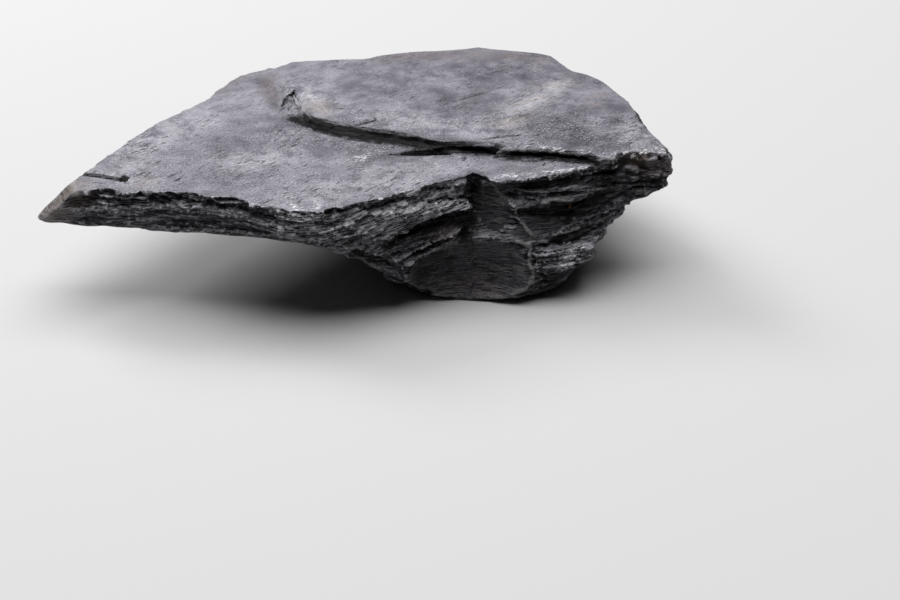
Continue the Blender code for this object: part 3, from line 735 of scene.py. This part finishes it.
def chance_at(spot):
    """A number from 0 to 1 that is the same all over one cell of a broken-up space."""
    nearest = noise.voronoi(spot)[1][0]
    return abs(noise.cell(nearest * CELL_STEP))


def splintered(place, level):
    """How far long thin splinters have come away, in millimetres."""
    x, y, _ = place
    gone = chance_at(Vector((x / SPLINTER_LENGTH, y / SPLINTER_LENGTH, level / SPLINTER_THICKNESS)))
    return SPLINTER_DEPTH * (SPLINTERS_LEFT - gone)


def chipped(place):
    """Blocky chips along the rim of the wing, in millimetres."""
    x, y, z = place
    near_rim = smoothstep(*CHIPS_FROM_LEVEL, z) * (1 - smoothstep(*CHIPS_TO_RIGHT, x))
    near_rim *= 1 - smoothstep(*CHIPS_TO_REAR, y)
    if near_rim <= 0:
        return 0.0
    gone = chance_at(Vector((x / CHIP_SIZE, y / CHIP_SIZE, z / CHIP_SIZE * CHIP_FLATNESS)))
    rough = noise.noise(Vector([value / size for value, size in zip(place, CHIP_GRAIN)]))
    return float(near_rim) * (CHIP_ROUGHNESS * rough - CHIP_DEPTH * gone ** CHIP_RARITY)


def smooth_share(place):
    """1 on the face of a scooped break that stayed smooth, and 0 away from it."""
    share = 0.0
    for middle, radii, turn in SMOOTH_HOLLOWS:
        x, y, z = Vector(place) - Vector(middle)
        angle = math.radians(-turn)
        x, z = x * math.cos(angle) + z * math.sin(angle), z * math.cos(angle) - x * math.sin(angle)
        far = math.sqrt((x / radii[0]) ** 2 + (y / radii[1]) ** 2 + (z / radii[2]) ** 2)
        share = max(share, 1 - smoothstep(*SMOOTH_RIM, far))
    return float(share)


def calm_share(place):
    """How much less the lower band of the wing is broken up."""
    x, _, z = place
    aside, upwards = CALM_FADE
    left = 1 - smoothstep(CALM_RIGHT - aside, CALM_RIGHT, x)
    return CALMNESS * float(left * (1 - smoothstep(CALM_TOP, CALM_TOP + upwards, z)))


def points_and_normals(mesh):
    """Every point of the mesh, in millimetres, and the way it faces."""
    count = len(mesh.vertices)
    places = np.empty(count * 3)
    normals = np.empty(count * 3)
    mesh.vertices.foreach_get("co", places)
    mesh.vertex_normals.foreach_get("vector", normals)
    return places.reshape(-1, 3) / MM, normals.reshape(-1, 3)


def move_points(mesh, places):
    """Puts the points of the mesh at the given places, none below the ground."""
    places[:, 2] = np.maximum(places[:, 2], 0.0)
    mesh.vertices.foreach_set("co", (places * MM).ravel())
    mesh.update()


def edge_ends(mesh):
    """The two points at the ends of every edge."""
    ends = np.empty(len(mesh.edges) * 2, dtype=np.int64)
    mesh.edges.foreach_get("vertices", ends)
    return ends.reshape(-1, 2)


def relaxed(places, ends, rounds):
    """The points after each has moved to the middle of its neighbours a number of times."""
    near = np.bincount(ends.ravel(), minlength=len(places))[:, None]
    for _ in range(rounds):
        total = np.zeros_like(places)
        for axis in range(3):
            total[:, axis] = np.bincount(ends[:, 0], places[ends[:, 1], axis], len(places))
            total[:, axis] += np.bincount(ends[:, 1], places[ends[:, 0], axis], len(places))
        places = (places + total) / (near + 1)
    return places


def away_from(places, route):
    """Distance of every point from a route, and how far along it the nearest place is, from 0 to 1."""
    far = np.full(len(places), np.inf)
    along = np.zeros(len(places))
    for number, (start, end) in enumerate(zip(route, route[1:])):
        start = np.array(start)
        run = np.array(end) - start
        part = np.clip((places - start) @ run / (run @ run), 0.0, 1.0)
        gap = np.linalg.norm(places - start - part[:, None] * run, axis=1)
        closer = gap < far
        far[closer] = gap[closer]
        along[closer] = (number + part[closer]) / (len(route) - 1)
    return far, along


def ledges(places):
    """How far the ledges stand out or lie back at every point, in millimetres."""
    x, y, z = places.T
    out = np.zeros(len(places))
    for route, above, below, rise, drop in LEDGES:
        xs, ys, zs = np.array(route, dtype=float).T
        wave = sum(height * np.sin(pace * x + LEDGE_SHIFT * height + zs[0]) for height, pace in LEDGE_WAVES)
        high = z - np.interp(x, xs, zs) - wave
        near = 1 - smoothstep(*LEDGE_REACH, np.abs(y - np.interp(x, xs, ys)))
        near *= smoothstep(xs[0], xs[0] + LEDGE_END, x) * (1 - smoothstep(xs[-1] - LEDGE_END, xs[-1], x))
        far = np.abs(high)
        out += near * np.where(high >= 0, above * np.exp(-far / rise), below * np.exp(-far / drop))
    return out


def furrows(places):
    """How far the furrows and ridges of the wall stand out at every point, in millimetres."""
    out = np.zeros(len(places))
    for route, half_width, depth in FURROWS:
        far, along = away_from(places * SQUASH, np.array(route) * SQUASH)
        out -= depth * run_out(along, *FURROW_ENDS) * (1 - smoothstep(FURROW_FLOOR, 1.0, far / half_width))
    return out


def break_walls(stone, orders):
    """Moves the points of the walls in and out, sheet by sheet and ledge by ledge."""
    places, normals = points_and_normals(stone.data)
    large = ledges(places) + furrows(places)
    for index, (place, normal) in enumerate(zip(places.tolist(), normals.tolist())):
        flat = math.hypot(normal[0], normal[1])
        wall = 1 - float(smoothstep(*WALL_FACING, abs(normal[2])))
        if wall <= 0 or flat < LEAST_ASIDE:
            continue
        level = bedding(place)
        slope = max(-STEEPEST, min(STEEPEST, normal[2] / flat))
        fineness = CAP_FINENESS if place[2] > TOP_LEVEL - CAP_DEPTH else 1.0
        fine = layered(place, level, slope, orders) + splintered(place, level) + chipped(place)
        fine *= (1 - SMOOTHNESS * smooth_share(place)) * (1 - calm_share(place)) * fineness
        out = wall * (fine + float(large[index]))
        places[index, 0] += normal[0] / flat * out
        places[index, 1] += normal[1] / flat * out
    move_points(stone.data, places)


def facing_up_at_top(places, normals, facing, depths):
    """1 for every point near the level of the top that faces up, and 0 well away from that."""
    low, high = [TOP_LEVEL - depth for depth in depths]
    return smoothstep(*facing, normals[:, 2]) * smoothstep(low, high, places[:, 2])


def wear_top(stone):
    """Gives the top its low swells, and wears the trough out."""
    places, normals = points_and_normals(stone.data)
    top = facing_up_at_top(places, normals, TOP_FACING, TOP_DEPTHS)
    for index in np.flatnonzero(top > 0):
        x, y, _ = places[index]
        swell = sum(height * noise.noise(Vector((x, y, 0)) / length) for height, length in SWELLS)
        places[index, 2] += swell * top[index]
    route, half_width, depth = TROUGH
    far, _ = away_from(places * (1, 1, 0), route)
    worn = np.exp(-(far / half_width) ** 2) * top
    soft = relaxed(places, edge_ends(stone.data), TROUGH_ROUNDS)
    places += (soft - places) * np.minimum(1.0, TROUGH_SMOOTHNESS * worn)[:, None]
    places[:, 2] -= depth * worn
    move_points(stone.data, places)


def crack_top(stone):
    """Opens the cracks as narrow furrows that run out at both ends."""
    places, normals = points_and_normals(stone.data)
    for route, half_width, depth in CRACKS:
        far, along = away_from(places, route)
        open_here = run_out(along, *CRACK_ENDS)
        furrow = np.clip(1 - far / (half_width * open_here), 0.0, 1.0)
        places[:, 2] -= depth * open_here * np.sqrt(furrow) * (normals[:, 2] > CRACK_FACING)
    move_points(stone.data, places)


def drop_crumbs(stone):
    """Deletes the tiny crumbs that the breaking left loose beside the stone."""
    only(stone)
    bpy.ops.object.mode_set(mode="EDIT")
    bpy.ops.mesh.select_mode(type="VERT")
    bpy.ops.mesh.select_all(action="DESELECT")
    bpy.ops.object.mode_set(mode="OBJECT")
    right_end = max(stone.data.vertices, key=lambda vertex: vertex.co.x)
    right_end.select = True
    bpy.ops.object.mode_set(mode="EDIT")
    bpy.ops.mesh.select_linked()
    bpy.ops.mesh.select_all(action="INVERT")
    bpy.ops.mesh.delete(type="VERT")
    bpy.ops.object.mode_set(mode="OBJECT")


def fine_stone():
    """The stone with its real surface: broken up sheet by sheet, worn and cracked."""
    stone = rough_stone()
    apply_modifier(stone, "REMESH", mode="VOXEL", voxel_size=GRAIN * MM)
    wear_top(stone)
    break_walls(stone, sheet_levels())
    apply_modifier(stone, "REMESH", mode="VOXEL", voxel_size=GRAIN * MM)
    drop_crumbs(stone)
    crack_top(stone)
    triangles = 2 * len(stone.data.polygons)
    if triangles > MOST_TRIANGLES:
        apply_modifier(stone, "DECIMATE", ratio=MOST_TRIANGLES / triangles)
    places, _ = points_and_normals(stone.data)
    move_points(stone.data, places)  # lifts those that now lie below the ground
    only(stone)
    bpy.ops.object.shade_smooth_by_angle(angle=math.radians(SMOOTH_ANGLE))
    return stone


def paint(stone, name, channels):
    """Stores up to three shares for each point as one colour attribute."""
    layer = stone.data.attributes.new(name, "FLOAT_COLOR", "POINT")
    values = np.ones((len(stone.data.vertices), 4))
    for number, channel in enumerate(channels):
        values[:, number] = channel
    layer.data.foreach_set("color", values.ravel())


def marked(places, marks):
    """How strongly every point bears the given marks."""
    share = np.zeros(len(places))
    for route, radius, strength in marks:
        far, _ = away_from(places, route)
        share = np.maximum(share, strength * np.exp(-(far / radius) ** 2))
    return share


def between_slab_and_cap(places, over_slab, under_cap, fade):
    """1 for every point between the levels of slab and cap, and 0 within the given distances of them."""
    low, high = TOP_LEVEL + over_slab, CAP_LEVEL - under_cap
    return smoothstep(low, low + fade, places[:, 2]) * (1 - smoothstep(high - fade, high, places[:, 2]))


def face_share(places, normals):
    """1 on the cleavage face of the slab and of the cap, and 0 on broken edges and the cap's front."""
    face = facing_up_at_top(places, normals, FACE_FACING, FACE_DEPTHS)
    slopes = between_slab_and_cap(places, *CAP_SLOPES) * (1 - smoothstep(*SLOPE_FACING, normals[:, 2]))
    broken = np.maximum(slopes, between_slab_and_cap(places, *CAP_TREADS))
    on_fin = FIN_SHADE * (places[:, 0] > FIN_LEFT) * (places[:, 1] < FIN_BACK)
    return face * (1 - broken * np.where(places[:, 1] < FIN_FRONT, 1.0, on_fin))


def standing_out(places, normals, ends, rounds):
    """How far every point stands out of the smoothed surface, in millimetres."""
    return ((places - relaxed(places, ends, rounds)) * normals).sum(axis=1)


def describe_surface(stone):
    """Stores what the finish goes by: edges, hollows, the cleavage face, marks and bedding."""
    places, normals = points_and_normals(stone.data)
    ends = edge_ends(stone.data)
    edge = smoothstep(*EDGES[1:], standing_out(places, normals, ends, EDGES[0]))
    # How deep each point lies in a hollow, for the painted shade there
    hollow_shade = smoothstep(*HOLLOWS[1:], -standing_out(places, normals, ends, HOLLOWS[0]))
    squashed = [([SQUASH * point for point in route], radius, strength)
                for route, radius, strength in WORN_AND_HIGHLIT_EDGES]
    # Painted shade: the deeper a crack, the blacker it is painted
    cracks = [(route, CRACK_SHADE * half_width, depth) for route, half_width, depth in CRACKS]
    spot, size = RUST_FLECK
    rust = np.linalg.norm((places - spot) * SQUASH, axis=1) < size
    paint(stone, "shape", (edge, hollow_shade, face_share(places, normals)))
    paint(stone, "marks", (marked(places, SCUFFS), marked(places, BEIGE), marked(places, BROWN)))
    # Tone: dust, then painted shade with some grime, then pale edge lines that are partly painted highlight
    paint(stone, "tone", (marked(places, DUST), marked(places, PAINTED_SHADE_AND_GRIME), marked(places * SQUASH, squashed)))
    smooth = [max(smooth_share(place), calm_share(place)) for place in places.tolist()]
    paint(stone, "spots", (rust, marked(places, cracks), smooth))
    paint(stone, "side", (1 - (1 - REAR_GRAIN) * smoothstep(*FRONT_FADE, places[:, 1]),))
    level = stone.data.attributes.new("bedding", "FLOAT", "POINT")
    level.data.foreach_set("value", [bedding(place) for place in places.tolist()])


def linear(code):
    """An sRGB hex colour as linear red, green, blue and alpha."""
    parts = [int(code[i:i + 2], 16) / 255 for i in (1, 3, 5)]
    return tuple(c / 12.92 if c <= 0.04045 else ((c + 0.055) / 1.055) ** 2.4 for c in parts) + (1,)


def node(tree, kind, settings=None, links=None):
    """Adds a node. Settings name its properties or inputs, and links feed its inputs from outputs or
    from the first output in use of another node."""
    made = tree.nodes.new("ShaderNode" + kind)
    for name, value in (settings or {}).items():
        if isinstance(name, str) and hasattr(made, name):
            setattr(made, name, value)
        else:
            made.inputs[name].default_value = value
    for name, source in (links or {}).items():
        if isinstance(source, bpy.types.Node):
            source = next(output for output in source.outputs if output.enabled)
        tree.links.new(source, made.inputs[name])
    return made


def surface_shares(tree):
    """Everything that the finish can go by at a point: the stored shares and all the patterns."""
    metres = node(tree, "TexCoord").outputs["Object"]
    place = node(tree, "Mapping", {"Scale": (1 / MM, 1 / MM, 1 / MM)}, {"Vector": metres})
    axes = node(tree, "SeparateXYZ", None, {0: place}).outputs
    level = node(tree, "Attribute", {"attribute_name": "bedding"}).outputs["Fac"]
    layers = node(tree, "CombineXYZ", None, {0: axes["X"], 1: axes["Y"], 2: level})
    facing = node(tree, "NewGeometry").outputs["Normal"]
    shares = {"up": node(tree, "SeparateXYZ", None, {0: facing}).outputs["Z"]}
    stored = {"shape": ("edge", "hollow_shade", "face"), "marks": ("scuff", "beige", "brown"),
              "tone": ("dust", "shade_and_grime", "worn"), "spots": ("rust", "crack", "smooth"), "side": ("front",)}
    for name, channels in stored.items():
        colour = node(tree, "Attribute", {"attribute_name": name}).outputs["Color"]
        shares.update(zip(channels, node(tree, "SeparateColor", None, {0: colour}).outputs))
    for name, (size, detail, roughness, turn, bedded) in PATTERNS.items():
        spot = node(tree, "Mapping", {"vector_type": "TEXTURE", "Rotation": (0, 0, math.radians(turn)),
                                      "Scale": size}, {"Vector": layers if bedded else place})
        shares[name] = node(tree, "TexNoise", {"Scale": 1.0, "Detail": detail, "Roughness": roughness},
                            {"Vector": spot})
    return shares


def where(tree, shares, conditions, strength):
    """How strongly a layer lies at a point: its conditions multiplied with its strength."""
    total = None
    for name, low, high in conditions:
        part = node(tree, "MapRange", {"From Min": low, "From Max": high}, {"Value": shares[name]})
        if total is not None:
            part = node(tree, "Math", {"operation": "MULTIPLY"}, {0: part, 1: total})
        total = part
    return node(tree, "Math", {"operation": "MULTIPLY", 1: strength}, {0: total})


def coloured(tree, shares, under, layers):
    """Lays colours one after another over what is under them, a hex colour or the result of a mix."""
    for conditions, strength, code in layers:
        share = where(tree, shares, conditions, strength)
        mix = node(tree, "Mix", {"data_type": "RGBA", OVER: linear(code)}, {SHARE: share})
        if isinstance(under, str):
            mix.inputs[UNDER].default_value = linear(under)
        else:
            tree.links.new(under.outputs[MIXED], mix.inputs[UNDER])
        under = mix
    return under


def raised(tree, shares, layers):
    """Height of the fine relief, in millimetres."""
    heights = [where(tree, shares, conditions, amount) for conditions, amount in layers]
    total = heights[0]
    for height in heights[1:]:
        total = node(tree, "Math", {"operation": "ADD"}, {0: total, 1: height})
    return total


def slate_material():
    """Slate, riven along its cleavage and weathered dry. The face is dusty violet-grey with fine
    strokes along its lineation, and the broken edges are near black, striped by the bedding, with
    pale edges that are partly bruised and partly painted highlight. Painted shade blackens its
    hollows, cracks and recesses, and treads of the broken wall that look up are painted paler, as
    dust and as painted top light."""
    material = bpy.data.materials.new("riven_slate")
    material.use_nodes = True
    tree = material.node_tree
    shader = tree.nodes["Principled BSDF"]
    shader.inputs["Specular IOR Level"].default_value = SPECULAR
    shares = surface_shares(tree)
    face = coloured(tree, shares, FACE_BASE, FACE_COLOURS)
    broken = coloured(tree, shares, BROKEN_BASE, BROKEN_COLOURS)
    both = node(tree, "Mix", {"data_type": "RGBA"}, {SHARE: shares["face"], UNDER: broken, OVER: face})
    final = coloured(tree, shares, both, MARK_COLOURS)
    heights = {SHARE: shares["face"], HEIGHT_UNDER: raised(tree, shares, BROKEN_RELIEF),
               HEIGHT_OVER: raised(tree, shares, FACE_RELIEF)}
    relief = node(tree, "Mix", {"data_type": "FLOAT"}, heights)
    bump = node(tree, "Bump", {"Strength": 1.0, "Distance": MM}, {"Height": relief})
    limits = dict(zip(("From Min", "From Max", "To Min", "To Max"), ROUGH_PATCHES + ROUGHNESS))
    rough = node(tree, "MapRange", limits, {"Value": shares["patches"]})
    tree.links.new(final.outputs[MIXED], shader.inputs["Base Color"])
    tree.links.new(bump.outputs[0], shader.inputs["Normal"])
    tree.links.new(rough.outputs[0], shader.inputs["Roughness"])
    return material


def put(data, place, turn):
    """Puts a camera or a light in its place."""
    made = bpy.data.objects.new(data.name, data)
    bpy.context.scene.collection.objects.link(made)
    made.location = place
    made.rotation_euler = turn
    return made


def camera():
    """Looks down at the front wall, as the photo does."""
    pitch = math.radians(VIEW_PITCH)
    back = Vector((0, -math.cos(pitch), math.sin(pitch))) * VIEW_DISTANCE
    data = bpy.data.cameras.new("camera")
    data.lens = LENS
    data.sensor_width = SENSOR
    data.clip_start = NEAREST_SEEN * MM
    place = (Vector((*VIEW_FOOT, 0)) + back) * MM
    bpy.context.scene.camera = put(data, place, (math.radians(90 - VIEW_PITCH), 0, 0))


def softbox(name, place, size, power):
    """A square soft light that looks at the stone."""
    data = bpy.data.lights.new(name, "AREA")
    data.size = size
    data.energy = power
    put(data, place, (Vector(LIGHTS_AIM) - Vector(place)).to_track_quat("-Z", "Y").to_euler())


def studio():
    """A pale floor in a dim room, with a large soft light overhead and a small one behind at the left."""
    deselect()
    bpy.ops.mesh.primitive_plane_add(size=FLOOR_SIZE, location=(0, 0, 0))
    floor = bpy.context.object
    floor.name = "floor"
    material = bpy.data.materials.new("pale_floor")
    material.use_nodes = True
    shader = material.node_tree.nodes["Principled BSDF"]
    shader.inputs["Base Color"].default_value = linear(FLOOR_COLOUR)
    shader.inputs["Roughness"].default_value = FLOOR_ROUGHNESS
    floor.data.materials.append(material)
    for light in LIGHTS:
        softbox(*light)
    world = bpy.data.worlds.new("room")
    world.use_nodes = True
    world.node_tree.nodes["Background"].inputs["Strength"].default_value = ROOM_LIGHT
    bpy.context.scene.world = world
    bpy.context.scene.view_settings.view_transform = "Standard"


stone = fine_stone()
describe_surface(stone)
stone.data.materials.append(slate_material())
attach(stone, "root")
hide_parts("slate_rock")
camera()
studio()
